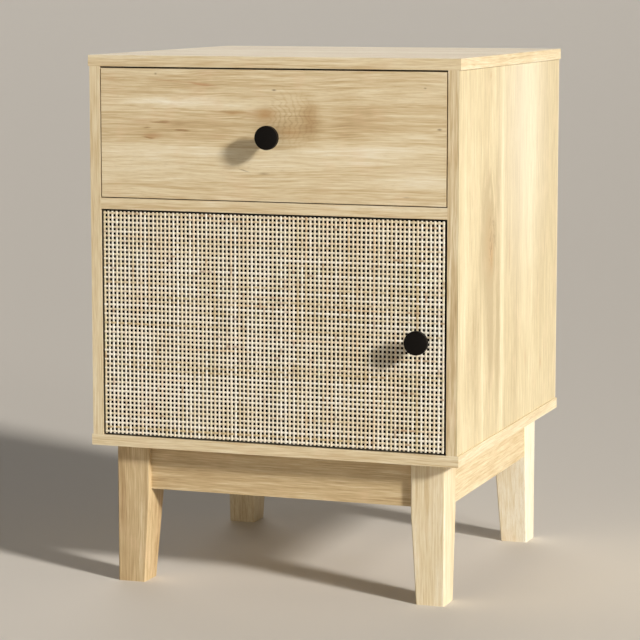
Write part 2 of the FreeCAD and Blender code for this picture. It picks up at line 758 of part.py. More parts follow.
def hinge_block(u, v, height, half):
    x = (-INNER_X + u[0], -INNER_X + u[1])
    return box(x, (FRONT + v[0], FRONT + v[1]), (height - half, height + half))


def hinge_pin(height):
    low = at_hinge(PIN_U, PIN_V, height - PIN_HALF)
    return rod(low.x, low.y, low.z, PIN_RADIUS, PIN_HALF * 2, Z)


def hinge_pins():
    return [hinge_pin(height) for height in hinge_heights().values()]


def hinge_cup(height):
    """A round pressed cup in the door, with a flange on its back and the pin across it."""
    mouth = at_hinge(CUP_U, FRONT_THICK, height)
    outside = rod(mouth.x, mouth.y, mouth.z, CUP_RADIUS, CUP_DEPTH, Y * -1)
    flange_v = (FRONT_THICK, FRONT_THICK + FLANGE)
    flange = hinge_block((CUP_U - FLANGE_LEFT, CUP_U + FLANGE_RIGHT), flange_v, height, FLANGE_HALF)
    hollow = CUP_DEPTH - CUP_WALL + FLANGE
    inside = rod(mouth.x, mouth.y + FLANGE, mouth.z, CUP_RADIUS - CUP_WALL, hollow, Y * -1)
    return cut_by(joined([outside, flange]).cut(inside), [hinge_pin(height)] + door_wood_screws())


def hinge_arm(height):
    """A bent steel arm from its curl round the pin, out of the cup and back along the side panel."""
    low = at_hinge(PIN_U, PIN_V, height - ARM_HALF)
    pin_v = (PIN_V - ARM_SHEET / 2, PIN_V + ARM_SHEET / 2)
    outer_u = (ARM_REACH_U - ARM_SHEET, ARM_REACH_U)
    back_v = (ARM_REACH_V - ARM_SHEET, ARM_REACH_V)
    tail_u = (PLATE_THICK, PLATE_THICK + ARM_SHEET)
    parts = [
        rod(low.x, low.y, low.z, CURL_RADIUS, ARM_HALF * 2, Z),
        hinge_block((PIN_U, ARM_REACH_U), pin_v, height, ARM_HALF),
        hinge_block(outer_u, (pin_v[0], ARM_REACH_V), height, ARM_HALF),
        hinge_block((PLATE_THICK, ARM_REACH_U), back_v, height, ARM_HALF),
        hinge_block(tail_u, (back_v[0], ARM_END_V), height, ARM_HALF),
    ]
    bore = rod(low.x, low.y, low.z, PIN_RADIUS + PIN_CLEARANCE, ARM_HALF * 2, Z)
    return joined(parts).cut(bore).cut(arm_screw(height))


def hinge_plate(height):
    """The mounting plate on the side panel, with a screw hole in each wing."""
    stem = hinge_block((0, PLATE_THICK), PLATE_V, height, PLATE_HALF)
    wings = hinge_block((0, PLATE_THICK), PLATE_WING_V, height, WING_HALF)
    return cut_by(joined([stem, wings]), cabinet_wood_screws() + [arm_screw(height)])


def arm_screw(height):
    """The machine screw that holds an arm down on its plate."""
    seat = at_hinge(PLATE_THICK + ARM_SHEET, sum(PLATE_WING_V) / 2, height)
    head = rod(seat.x, seat.y, seat.z, ARM_SCREW_HEAD, ARM_SCREW_HEAD_HEIGHT, X)
    shank = rod(seat.x, seat.y, seat.z, ARM_SCREW_RADIUS, PLATE_THICK + ARM_SHEET, X * -1)
    return joined([head, shank])


# ---- magnetic catch ----
def catch_front():
    return BOX_FRONT_Y + STRIKE + CATCH_GAP


def about_catch(length):
    """The low and high x of something this long, centred on the catch."""
    return CATCH_X - length / 2, CATCH_X + length / 2


def magnetic_catch():
    """A magnet housing on two feet, screwed under the divider."""
    y = (catch_front(), catch_front() + CATCH_DEPTH)
    body = box(about_catch(CATCH_BODY_X), y, (DIVIDER_Z - CATCH_DROP, DIVIDER_Z))
    feet = box(about_catch(CATCH_FEET_X), y, (DIVIDER_Z - CATCH_FOOT, DIVIDER_Z))
    return cut_by(joined([body, feet]), cabinet_wood_screws())


def strike_z():
    return DIVIDER_Z - CATCH_DROP + STRIKE_RISE


def catch_strike():
    y = (BOX_FRONT_Y, BOX_FRONT_Y + STRIKE)
    plate = box(about_catch(STRIKE_X), y, (strike_z(), strike_z() + STRIKE_HIGH))
    return cut_by(plate, door_wood_screws())


# ---- all sub-parts ----
def carcass_nodes():
    return {
        "top_panel": top_panel(),
        "bottom_panel": bottom_panel(),
        "left_side_panel": left_side_panel(),
        "right_side_panel": right_side_panel(),
        "divider_panel": divider_panel(),
        "back_panel": back_panel(),
        "cam_bolts": group(carcass_cam_pins()),
        "cam_locks": group(carcass_cam_locks()),
        "panel_dowels": group(carcass_dowels()),
        "back_panel_nails": group(back_nails()),
        "cabinet_wood_screws": group(cabinet_wood_screws()),
    }


def stand_nodes():
    corners = ("front_left", "front_right", "rear_left", "rear_right")
    legs = dict(zip([c + "_leg" for c in corners], four_corners(front_left_leg())))
    wells = apron_screws(part=1)
    front = cut_by(front_apron(), wells)
    left = cut_by(left_apron(), wells)
    aprons = {
        "front_apron": front,
        "rear_apron": mirror_y(front),
        "left_apron": left,
        "right_apron": mirror_x(left),
    }
    fasteners = {
        "corner_brackets": group(four_corners(corner_bracket())),
        "hanger_bolts": group(four_corners(hanger_bolt())),
        "hanger_nuts": group(four_corners(hanger_nut())),
        "apron_screws": group(apron_screws()),
    }
    return {**legs, **aprons, **fasteners}


def slide_nodes():
    rails = {
        "cabinet_rail": left_cabinet_rail(),
        "middle_rail": left_middle_rail(),
        "drawer_rail": left_drawer_rail(),
        "outer_ball_cage": left_outer_ball_cage(),
        "inner_ball_cage": left_inner_ball_cage(),
    }
    left = {"left_" + name: shape for name, shape in rails.items()}
    right = {"right_" + name: mirror_x(shape) for name, shape in rails.items()}
    screws = {
        "cabinet_rail_screws": group(cabinet_rail_screws()),
        "drawer_rail_screws": group(drawer_rail_screws()),
    }
    return {**left, **right, **screws}


def drawer_nodes():
    return {
        "drawer_front": drawer_front(),
        "drawer_left_side": drawer_left_side(),
        "drawer_right_side": mirror_x(drawer_left_side()),
        "drawer_back": drawer_back(),
        "drawer_bottom": drawer_bottom(),
        "drawer_cam_bolts": group(drawer_cam_pins()),
        "drawer_cam_locks": group(drawer_cam_locks()),
        "drawer_box_screws": group(drawer_box_screws()),
        "drawer_knob": knob(DRAWER_KNOB),
        "drawer_knob_screw": knob_screw(DRAWER_KNOB),
    }


def door_nodes():
    heights = hinge_heights()
    cups = {name + "_hinge_cup": hinge_cup(z) for name, z in heights.items()}
    arms = {name + "_hinge_arm": hinge_arm(z) for name, z in heights.items()}
    plates = {name + "_hinge_plate": hinge_plate(z) for name, z in heights.items()}
    fittings = {
        "hinge_pins": group(hinge_pins()),
        "hinge_arm_screws": group([arm_screw(z) for z in heights.values()]),
        "door_wood_screws": group(door_wood_screws()),
        "magnetic_catch": magnetic_catch(),
        "catch_strike": catch_strike(),
        "door_knob": knob(DOOR_KNOB),
        "door_knob_screw": knob_screw(DOOR_KNOB),
    }
    leaves = {"door_panel": door_panel(), "cane_webbing": cane_webbing()}
    return {**leaves, **cups, **arms, **plates, **fittings}


def build():
    """Writes one STEP file per sub-part."""
    os.makedirs("parts", exist_ok=True)
    nodes = {**carcass_nodes(), **stand_nodes(), **slide_nodes(), **drawer_nodes(), **door_nodes()}
    for name, shape in nodes.items():
        shape.exportStep(f"parts/{name}.step")
    print(len(nodes), "sub-parts written")


build()
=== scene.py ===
"""The look of a light oak nightstand with one drawer and one cane door."""

import math

import bpy
import numpy as np
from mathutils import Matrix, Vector


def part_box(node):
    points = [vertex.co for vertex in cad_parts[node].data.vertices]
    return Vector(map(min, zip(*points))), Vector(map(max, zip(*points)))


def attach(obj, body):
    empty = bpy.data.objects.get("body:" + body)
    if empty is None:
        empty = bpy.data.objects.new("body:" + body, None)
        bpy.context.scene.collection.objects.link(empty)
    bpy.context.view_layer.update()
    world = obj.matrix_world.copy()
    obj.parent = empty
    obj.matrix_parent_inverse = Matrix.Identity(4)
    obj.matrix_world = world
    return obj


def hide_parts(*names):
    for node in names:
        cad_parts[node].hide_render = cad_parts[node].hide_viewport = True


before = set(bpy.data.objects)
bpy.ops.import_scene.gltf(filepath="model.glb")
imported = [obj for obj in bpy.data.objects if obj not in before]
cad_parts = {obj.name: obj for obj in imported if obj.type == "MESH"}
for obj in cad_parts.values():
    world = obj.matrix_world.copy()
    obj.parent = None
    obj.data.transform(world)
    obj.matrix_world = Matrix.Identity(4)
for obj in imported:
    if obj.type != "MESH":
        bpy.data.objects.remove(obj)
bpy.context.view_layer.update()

MM = 0.001
X, Y, Z = 0, 1, 2


def colour(red, green, blue):
    """A linear colour from screen values of 0 to 255, by the sRGB curve."""

    def linear(value):
        value /= 255
        return value / 12.92 if value <= 0.04045 else ((value + 0.055) / 1.055) ** 2.4

    return linear(red), linear(green), linear(blue), 1.0


# ---------------------------------------------------------------- material graphs


SOCKETS = {
    "base_color": "Base Color",
    "roughness": "Roughness",
    "metallic": "Metallic",
    "specular_ior_level": "Specular IOR Level",
    "normal": "Normal",
}


class Wire:
    """A value in a material's node tree. Sums and products of wires make math nodes."""

    def __init__(self, graph, socket):
        self.graph = graph
        self.socket = socket

    def __add__(self, other):
        return self.graph.math("ADD", self, other)

    def __sub__(self, other):
        return self.graph.math("SUBTRACT", self, other)

    def __mul__(self, other):
        return self.graph.math("MULTIPLY", self, other)

    def __rsub__(self, other):
        return self.graph.math("SUBTRACT", other, self)

    __radd__ = __add__
    __rmul__ = __mul__


class Graph:
    """One procedural material."""

    def __init__(self, name):
        self.material = bpy.data.materials.new(name)
        self.material.use_nodes = True
        self.tree = self.material.node_tree
        self.tree.nodes.clear()

    def feed(self, socket, value):
        """Links a wire to the socket, or sets the socket's own value."""
        if isinstance(value, Wire):
            self.tree.links.new(value.socket, socket)
        else:
            socket.default_value = value

    def node(self, kind, inputs=(), **settings):
        """A new node, with its settings made before its inputs are fed."""
        made = self.tree.nodes.new("ShaderNode" + kind)
        for key, value in settings.items():
            setattr(made, key, value)
        for key, value in dict(inputs).items():
            self.feed(made.inputs[key], value)
        return made

    def wire(self, made, output=0):
        return Wire(self, made.outputs[output])

    def math(self, operation, *values):
        made = self.node("Math", enumerate(values), operation=operation)
        return self.wire(made)

    def point(self, *values):
        return self.wire(self.node("CombineXYZ", enumerate(values)))

    def split(self, vector):
        made = self.node("SeparateXYZ", {0: vector})
        return [self.wire(made, axis) for axis in range(3)]

    def coordinates(self, output="Object"):
        return self.wire(self.node("TexCoord"), output)

    def noise(self, vector, scale=1.0, detail=2.0, rough=0.5):
        """About -0.5 to 0.5."""
        made = self.node(
            "TexNoise",
            {"Vector": vector, "Scale": scale, "Detail": detail, "Roughness": rough},
        )
        return self.wire(made) - 0.5

    def fade(self, value, start, end):
        """0 where value is start or before it, 1 where it is end or past it."""
        made = self.node(
            "MapRange",
            {"Value": value, "From Min": start, "From Max": end},
            interpolation_type="SMOOTHSTEP",
        )
        return self.wire(made)

    def patch(self, plane, at, size, turn=0.0, core=0.0):
        """1 in the middle of an oval patch, out to core of its size, and 0 outside it.
        The place and half sizes are in mm, turn is in degrees."""
        moved = self.node(
            "Mapping",
            {
                "Vector": plane,
                "Location": (at[0] * MM, at[1] * MM, 0.0),
                "Rotation": (0.0, 0.0, math.radians(turn)),
                "Scale": (size[0] * MM, size[1] * MM, 1.0),
            },
            vector_type="TEXTURE",
        )
        reach = self.node("VectorMath", {0: self.wire(moved)}, operation="LENGTH")
        return self.fade(self.wire(reach, "Value"), 1.0, core)

    def patches(self, plane, *rows):
        """Patches added up: (x, y, half width, half height, strength), and a turn or none."""
        total = 0.0
        for x, y, wide, tall, strength, *turn in rows:
            total = self.patch(plane, (x, y), (wide, tall), *turn) * strength + total
        return total

    def mix(self, share, first, second):
        """first where share is 0 and second where it is 1. Inputs 6 and 7 and output 2 are
        the node's colour sockets."""
        made = self.node("Mix", {0: share, 6: first, 7: second}, data_type="RGBA")
        return self.wire(made, 2)

    def ramp(self, value, *stops):
        """A colour ramp from (place, colour) stops."""
        made = self.node("ValToRGB", {0: value})
        elements = made.color_ramp.elements
        while len(elements) < len(stops):
            elements.new(0.5)
        for element, (place, shade) in zip(elements, stops):
            element.position = place
            element.color = shade
        return self.wire(made)

    def bump(self, height, depth):
        """A relief that is depth, in mm, where height rises by 1."""
        relief = {"Height": height, "Distance": depth * MM, "Strength": 1.0}
        made = self.node("Bump", relief)
        return self.wire(made)

    def finish(self, **inputs):
        """Ends the tree with the surface shader, with its own sockets set."""
        shader = self.node("BsdfPrincipled")
        for key, value in inputs.items():
            self.feed(shader.inputs[SOCKETS[key]], value)
        output = self.node("OutputMaterial")
        self.tree.links.new(shader.outputs[0], output.inputs["Surface"])
        return self.material


def paint(obj, material):
    """Gives a piece its material."""
    obj.data.materials.clear()
    obj.data.materials.append(material)


# ---------------------------------------------------------------- oak

OAK_DARK = colour(158, 128, 86)
OAK_TAN = colour(201, 178, 137)
OAK = colour(223, 207, 172)
OAK_PALE = colour(243, 236, 217)
# A pale cream for the painted highlight on the right side panel's outer face.
HIGHLIGHT_CREAM = colour(236, 234, 200)
OAK_PINK = colour(226, 192, 158)
OAK_RED = colour(178, 126, 82)
OAK_AMBER = colour(184, 144, 94)
OAK_KNOT = colour(104, 76, 48)


def oak_face(graph, along, thick):
    """(a, b, c) for a faced board: along the grain, across it, and a value that tells its
    faces apart. The strips on the board's edges have their grain along the edge."""
    place = graph.split(graph.coordinates())
    normal = [graph.math("ABSOLUTE", n) for n in graph.split(graph.coordinates("Normal"))]
    across = 3 - along - thick
    facing = 0.6
    flat = graph.math("GREATER_THAN", normal[thick], facing)
    end = graph.math("GREATER_THAN", normal[along], facing)
    a = place[along] + (place[across] - place[along]) * end
    b = place[thick] + (place[across] - place[thick]) * flat
    c = flat * 0.31 + end * 0.17 + place[thick] * flat
    return a, b, c


def oak_solid(graph, along):
    """(a, b, c) for solid wood: the grain runs through the piece."""
    place = graph.split(graph.coordinates())
    return place[along], place[(along + 1) % 3], place[(along + 2) % 3]


def oak_tone(graph, a, b, c, seed):
    """The tone of straight oak, from about -0.5, dark, to 0.5, pale, its pores, and b bent
    as the grain bends."""
    c = c + seed * 0.83

    def layer(along, across, **settings):
        """Noise with so many waves to the metre along the grain and across it."""
        return graph.noise(graph.point(a * along, b * across, c * across), **settings)

    drift = layer(3.0, 10, detail=1) * (12 * MM)
    ripple = layer(16, 60, detail=1) * (3 * MM)
    b = b + drift + ripple
    bands = layer(1.6, 30, detail=3)
    streaks = layer(12, 320, detail=3, rough=0.65)
    fibres = layer(34, 820, detail=2, rough=0.6)
    pits = layer(110, 2300, detail=1)
    pores = graph.fade(pits + bands * 0.25 + streaks * 0.2, 0.12, 0.24)
    tone = bands * 0.42 + streaks * 0.6 + fibres * 0.52
    return tone, pores, b


def oak_finish(graph, tone, pores, stains_and_painted_light=()):
    """The oak's surface, with (share, colour) pairs laid over the grain: marks of the wood,
    and on the right side panel also a painted highlight.
    """
    shade = graph.ramp(
        tone + 0.5, (0.05, OAK_DARK), (0.36, OAK_TAN), (0.55, OAK), (0.86, OAK_PALE)
    )
    place = graph.coordinates()
    blush = graph.noise(place, scale=34.0, detail=2)
    shade = graph.mix(graph.fade(blush, 0.02, 0.22) * 0.16, shade, OAK_PINK)
    for share, overlay in stains_and_painted_light:
        shade = graph.mix(share, shade, overlay)
    shade = graph.mix(pores * 0.22, shade, OAK_DARK)
    rough = 0.5 - tone * 0.08 + pores * 0.1
    relief = graph.bump(tone * 0.5 - pores, 0.06)
    return graph.finish(base_color=shade, roughness=rough, normal=relief)


def faced_board(node, along, thick, seed, painted_light_and_tone=0.0):
    """Straight oak on board. lift makes it paler, or darker below 0."""
    graph = Graph(node + "_oak")
    tone, pores, _ = oak_tone(graph, *oak_face(graph, along, thick), seed)
    paint(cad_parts[node], oak_finish(graph, tone + painted_light_and_tone, pores))


def solid_board(node, along, seed, painted_light_and_tone=0.0):
    """Straight solid oak. A shift above 0 makes it paler, below 0 darker: painted light and
    shade.
    """
    graph = Graph(node + "_oak")
    tone, pores, _ = oak_tone(graph, *oak_solid(graph, along), seed)
    paint(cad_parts[node], oak_finish(graph, tone + painted_light_and_tone, pores))


def hairpins(graph, along, across, tip, stretch, ruffle):
    """The distance from a line that ends at tip: the grain comes along it, turns round its
    end and goes back. along and across are wires, tip is in mm."""
    past = graph.math("MAXIMUM", along - tip[0] * MM, 0.0) * stretch[0]
    away = (across - tip[1] * MM) * stretch[1]
    blunt = 10 * MM * MM
    return graph.math("SQRT", past * past + away * away + blunt) + ruffle


def waves(graph, rings, pitch):
    """From -1 to 1 and back as rings grows by pitch, in mm."""
    return graph.math("SINE", rings * (2 * math.pi / (pitch * MM)))


def hump(graph, value, middle, width):
    """1 where value is middle, 0 from width away, both in mm."""
    return graph.fade(graph.math("ABSOLUTE", value - middle * MM), width * MM, 0.0)


def drawer_front():
    """Grain from left to right, with a swirl to the right of the knob. Its figures' places
    are in mm from the face's lower left corner."""
    node = "drawer_front"
    low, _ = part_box(node)
    graph = Graph(node + "_oak")
    a, b, c = oak_face(graph, X, Y)
    tone, pores, bent = oak_tone(graph, a, b, c, seed=3.0)
    a, b, bent = a - low[X], b - low[Z], bent - low[Z]
    plane = graph.point(a, b, 0.0)
    ruffle = graph.noise(graph.point(a * 40, b * 130, c), detail=2)
    warped = graph.point(a, bent + ruffle * (6 * MM), 0.0)
    rings = hairpins(graph, a, bent, (180, 84), (1.0, 0.86), ruffle * (16 * MM))
    lines = graph.fade(waves(graph, rings, 5.4), 0.1, 1.0)
    swirl = graph.patch(plane, (204, 84), (46, 42))
    turned = graph.patch(plane, (225, 84), (110, 50), core=0.4)
    brown = (
        lines * swirl * 0.11
        + hump(graph, rings, 50, 20) * graph.patch(plane, (229, 84), (44, 36)) * 0.2
        + hump(graph, rings, 90, 30) * turned * 0.08
        + graph.patches(
            warped,
            (90, 118, 190, 17, 0.13),
            (280, 116, 150, 20, 0.07),
            (90, 74, 130, 19, 0.12),
            (212, 80, 62, 34, 0.14),
            (290, 84, 60, 26, 0.1),
            (90, 92, 95, 1.8, 0.2, -3),
            (66, 79.6, 15, 1.6, 0.45),
            (90, 71.5, 12, 1.6, 0.45),
            (51, 73.7, 6, 1.0, 0.3),
            (53, 63.5, 9, 1.4, 0.4),
            (150, 90, 34, 1.8, 0.28, -1),
            (150, 84, 34, 1.3, 0.2, 1),
            (345, 98, 40, 2.0, 0.1, 2),
            (130, 33, 100, 3.0, 0.07),
            (270, 24, 90, 2.0, 0.07),
        )
    )
    pale = graph.patches(
        warped,
        (66, 100.5, 82, 6, 0.2),
        (130, 97, 60, 5, 0.12, -3),
        (80, 52, 130, 9, 0.18),
        (300, 52, 140, 10, 0.22),
        (250, 40, 150, 14, 0.12),
        (340, 22, 70, 16, 0.14),
        (340, 66, 60, 5, 0.1),
        (20, 30, 90, 18, 0.04),
    )
    red = graph.patches(
        warped,
        (78, 122, 40, 1.8, 0.3, -5),
        (112, 118.5, 22, 2.4, 0.6, -9),
        (57, 66, 16, 5, 0.4),
        (45, 79, 20, 5, 0.22),
        (130, 66, 16, 4, 0.2),
        (12, 123, 10, 3, 0.2),
        (120, 129, 26, 3, 0.14),
        (330, 30, 30, 5, 0.1),
    )
    amber = graph.patches(
        warped,
        (180, 88, 21, 12, 0.8),
        (228, 84, 12, 24, 0.26),
        (206, 71, 22, 10, 0.5),
        (150, 89, 26, 3, 0.5),
    )
    knots = graph.patches(
        plane,
        (61, 127.5, 2.4, 1.6, 0.7),
        (190, 112.5, 3.4, 1.5, 1.0),
        (364, 76, 3.8, 1.6, 1.0),
        (349, 116.5, 2.2, 1.2, 0.8),
        (179, 28, 9, 2.2, 0.5),
        (157, 31, 9, 1.0, 0.7, -14),
        (330, 8, 6, 1.4, 0.4),
    )
    tone = tone * (1.0 - swirl * 0.3) + pale - brown - 0.01
    stains_and_painted_light = [(amber, OAK_AMBER), (red, OAK_RED), (knots * 0.75, OAK_KNOT)]
    paint(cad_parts[node], oak_finish(graph, tone, pores, stains_and_painted_light))


def right_side_panel():
    """Upright grain with one larger knot near the front, and a painted highlight on the outer
    face. Its figures' places are in mm from the face's lower front corner."""
    node = "right_side_panel"
    low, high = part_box(node)
    graph = Graph(node + "_oak")
    a, b, c = oak_face(graph, Z, X)
    tone, pores, bent = oak_tone(graph, a, b, c, seed=7.0)
    skin = 1 * MM
    sideways = graph.split(graph.coordinates())[X]
    outside = graph.math("GREATER_THAN", sideways, high[X] - skin)
    a, b, bent = a - low[Z], b - low[Y], bent - low[Y]
    ruffle = graph.noise(graph.point(a * 30, b * 120, c), detail=2)
    warped = graph.point(bent + ruffle * (8 * MM), a, 0.0)

    def patches(*rows):
        """Patches on the outer face only."""
        return graph.patches(warped, *rows) * outside

    rings = hairpins(graph, a, bent, (190, 110), (0.25, 1.0), ruffle * (10 * MM))
    lines = waves(graph, rings, 7.5)
    arches = graph.patch(warped, (112, 225), (34, 95)) * outside
    brown = patches(
        (100, 165, 48, 100, 0.14),
        (112, 200, 34, 76, 0.42),
        (127, 188, 9, 26, 0.8),
        (131, 216, 5, 20, 0.5),
        (122, 238, 6, 16, 0.45),
        (137, 226, 4, 32, 0.3),
        (146, 110, 15, 120, 0.34),
        (144, 262, 14, 60, 0.2),
        (62, 95, 24, 110, 0.24),
        (34, 84, 26, 80, 0.2),
        (104, 255, 34, 50, 0.24),
        (130, 200, 60, 160, 0.08),
        (205, 300, 60, 90, 0.1),
        (215, 190, 22, 300, 0.1),
        (310, 190, 26, 300, 0.05),
        (300, 150, 80, 100, 0.05),
        (120, 112, 14, 90, 0.6),
        (230, 250, 5, 120, 0.08),
    )
    pale = patches(
        (162, 190, 14, 520, 0.26),
        (90, 60, 7, 130, 0.26),
        (20, 190, 22, 420, 0.16),
        (262, 190, 50, 420, 0.16),
    )
    red = patches(
        (117, 375, 3, 6, 0.5),
        (323, 51, 3.5, 11, 0.6),
        (56, 118, 2.4, 26, 0.4),
        (191, 183, 2.2, 24, 0.4),
        (275, 205, 6, 26, 0.12),
        (258, 309, 6, 36, 0.12),
        (260, 64, 6, 16, 0.25),
    )
    amber = patches((114, 200, 28, 60, 0.26), (122, 188, 9, 26, 0.34))
    # Painted highlight: a pale wash over the back and upper part of the outer face, where the
    # sunlit side looks washed out.
    painted_highlight_wash = patches((250, 330, 140, 270, 0.4))
    crumbs = graph.noise(graph.point(a * 130, b * 240, c), detail=2)
    flecks = graph.fade(crumbs, 0.03, 0.16) * patches((124, 206, 20, 52, 0.5))
    # Painted highlight: the outer face is made 0.22 darker in tone here and washed 0.3 toward
    # cream in the list below, for the washed-out look of the sunlit side.
    tone = tone * 1.3 + lines * arches * 0.2 + pale - brown - 0.22 * outside
    stains_and_painted_light = [
        (outside * 0.3, HIGHLIGHT_CREAM),
        (painted_highlight_wash, OAK_PALE),
        (amber, OAK_AMBER),
        (red, OAK_RED),
        (flecks, OAK_KNOT),
    ]
    paint(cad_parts[node], oak_finish(graph, tone, pores, stains_and_painted_light))


drawer_front()
right_side_panel()
faced_board("top_panel", X, Z, seed=1.0, painted_light_and_tone=-0.01)
faced_board("bottom_panel", X, Z, seed=2.0)
faced_board("divider_panel", X, Z, seed=4.0, painted_light_and_tone=0.02)
faced_board("left_side_panel", Z, X, seed=5.0)
# Painted light and shade: the front left leg and front apron are darkened for the shade under
# the bottom board, the rear right leg is made paler where the key light falls on it, and the
# front right leg a little paler and the right apron a little darker for the same light and
# shade.
solid_board("front_left_leg", Z, seed=11.0, painted_light_and_tone=-0.26)
solid_board("front_right_leg", Z, seed=12.0, painted_light_and_tone=0.06)
solid_board("rear_left_leg", Z, seed=13.0)
solid_board("rear_right_leg", Z, seed=14.0, painted_light_and_tone=0.2)
solid_board("front_apron", X, seed=15.0, painted_light_and_tone=-0.2)
solid_board("rear_apron", X, seed=16.0)
solid_board("left_apron", Y, seed=17.0)
solid_board("right_apron", Y, seed=18.0, painted_light_and_tone=-0.06)


# ---------------------------------------------------------------- cane

CANE_COLUMNS, CANE_ROWS = 82, 49
CANE_WIDE = 2.1 * MM
CANE_THICK = 0.45 * MM
CANE_WAVE = 0.26 * MM            # how far a strand swings over and under
CANE_SIDE_TRIM = 0.7 * MM        # from the sheet's outline to its strands
CANE_END_TRIM = 0.1 * MM
CANE_END_HOLES = 1.0 * MM        # the sheet is cut through its last rows of holes
CANE_STEPS = 4                   # sections from one crossing to the next


def strand_outline():
    """A strand's flat six-sided section, as (across, out) corners."""
    half, edge, side = CANE_WIDE / 2, CANE_WIDE * 0.3, CANE_THICK / 2
    return np.array(
        [(-half, 0), (-edge, -side), (edge, -side), (half, 0), (edge, side), (-edge, side)]
    )


def strand_faces(first, sections, corners):
    """The four-sided faces between a strand's sections, whose points count from first."""
    section = first + np.arange(sections - 1)[:, None] * corners
    here = section + np.arange(corners)
    beside = section + (np.arange(corners) + 1) % corners
    return np.stack((here, beside, beside + corners, here + corners), axis=2).reshape(-1, 4)


def weave(name, upright, seed):
    """All strands of one direction of the plain weave, as one mesh."""
    low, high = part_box("cane_webbing")
    middle = (low[Y] + high[Y]) / 2
    trim = Vector((CANE_SIDE_TRIM, 0.0, CANE_END_TRIM))
    low, high = low + trim, high - trim
    half = CANE_WIDE / 2
    columns = np.linspace(low[X] + half, high[X] - half, CANE_COLUMNS)
    first_row = half + CANE_END_HOLES
    rows = np.linspace(low[Z] + first_row, high[Z] - first_row, CANE_ROWS)
    strands, crossings = (columns, rows) if upright else (rows, columns)
    start, end = (low[Z], high[Z]) if upright else (low[X], high[X])
    pitch = crossings[1] - crossings[0]
    sections = round((end - start) / pitch) * CANE_STEPS + 1
    along = np.linspace(start, end, sections)
    phase = (along - crossings[0]) / pitch
    outline = strand_outline()
    corners = len(outline)
    rng = np.random.default_rng(seed)

    def uneven(knots, spread):
        """A curve that wanders smoothly along the strand."""
        return np.interp(along, np.linspace(start, end, knots), rng.normal(0, spread, knots))

    points, faces, tints = [], [], []
    for index, strand in enumerate(strands):
        sign = 1 if (index % 2 == 0) == upright else -1
        wave = sign * CANE_WAVE * np.cos(math.pi * phase)
        centre = strand + uneven(9, 0.11 * MM)
        width = 1 + rng.normal(0, 0.035) + uneven(16, 0.04)
        across = centre[:, None] + width[:, None] * outline[None, :, 0]
        out = middle + wave[:, None] + outline[None, :, 1]
        run = np.broadcast_to(along[:, None], across.shape)
        place = (across, out, run) if upright else (run, out, across)
        points.append(np.stack(place, axis=2).reshape(-1, 3))
        quads = strand_faces(index * sections * corners, sections, corners)
        faces.append(quads if upright else quads[:, ::-1])
        # Lightness, warmth, stain and a full alpha, read by the cane's material.
        tint = np.stack(
            [
                0.5 + rng.normal(0, 0.16) + uneven(10, 0.12),
                0.5 + rng.normal(0, 0.2) + uneven(10, 0.2),
                uneven(30, 0.5),
                np.ones(sections),
            ],
            axis=1,
        )
        tints.append(np.repeat(tint, corners, axis=0))
    mesh = bpy.data.meshes.new(name)
    mesh.from_pydata(np.concatenate(points).tolist(), [], np.concatenate(faces).tolist())
    mesh.polygons.foreach_set("use_smooth", [True] * len(mesh.polygons))
    attribute = mesh.attributes.new("strand", "FLOAT_COLOR", "POINT")
    attribute.data.foreach_set("color", np.concatenate(tints).astype(np.float32).ravel())
    obj = bpy.data.objects.new(name, mesh)
    bpy.context.scene.collection.objects.link(obj)
    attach(obj, "door")
    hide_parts("cane_webbing")
    return obj


def cane_material():
    """Pale strands, each a little warmer or cooler, with a few brown-stained patches."""
    graph = Graph("cane")
    strand = graph.node("Attribute", attribute_name="strand")
    lightness, warmth, stained = graph.split(graph.wire(strand, "Color"))
    place = graph.coordinates()
    cloud = graph.noise(place, scale=16.0, detail=3)
    speck = graph.noise(place, scale=500.0, detail=2)
    shade = graph.ramp(
        lightness + cloud * 0.35,
        (0.0, colour(206, 186, 146)),
        (0.4, colour(232, 220, 194)),
        (0.75, colour(246, 240, 226)),
    )
    shade = graph.mix(graph.fade(warmth, 0.6, 1.1) * 0.4, shade, colour(226, 190, 146))
    shade = graph.mix(graph.fade(warmth, 0.3, -0.1) * 0.4, shade, colour(214, 210, 170))
    overlay = graph.fade(stained + cloud, 0.55, 1.1)
    shade = graph.mix(overlay * 0.55, shade, colour(166, 126, 84))
    shade = graph.mix(graph.fade(speck, 0.12, 0.26) * 0.2, shade, colour(160, 126, 84))
    return graph.finish(base_color=shade, roughness=0.48 + speck * 0.1)


CANE = cane_material()
paint(weave("cane_upright_strands", upright=True, seed=5), CANE)
paint(weave("cane_level_strands", upright=False, seed=6), CANE)


# ---------------------------------------------------------------- plain finishes


def grained_board(name, shade, dark, along):
    """Plain board with streaks along one axis, in waves to the metre."""
    graph = Graph(name)
    place = graph.split(graph.coordinates())
    scales = [12.0 if axis == along else 260.0 for axis in range(3)]
    streak = graph.noise(graph.point(*(p * s for p, s in zip(place, scales))), detail=3)
    return graph.finish(base_color=graph.mix(streak + 0.5, dark, shade), roughness=0.55)


def speckled(name, shade, dark, rough, metallic=0.0, scale=900.0, gloss=0.5):
    """A finish with a fine speckle from dark to shade, which also roughens it."""
    graph = Graph(name)
    grain = graph.noise(graph.coordinates(), scale=scale, detail=3)
    return graph.finish(
        base_color=graph.mix(grain + 0.5, dark, shade),
        roughness=rough + grain * 0.1,
        metallic=metallic,
        specular_ior_level=gloss,
        normal=graph.bump(grain, 0.02),
    )


def metal(name, shade, dark, rough):
    """A speckled bare metal."""
    return speckled(name, shade, dark, rough, metallic=1.0)


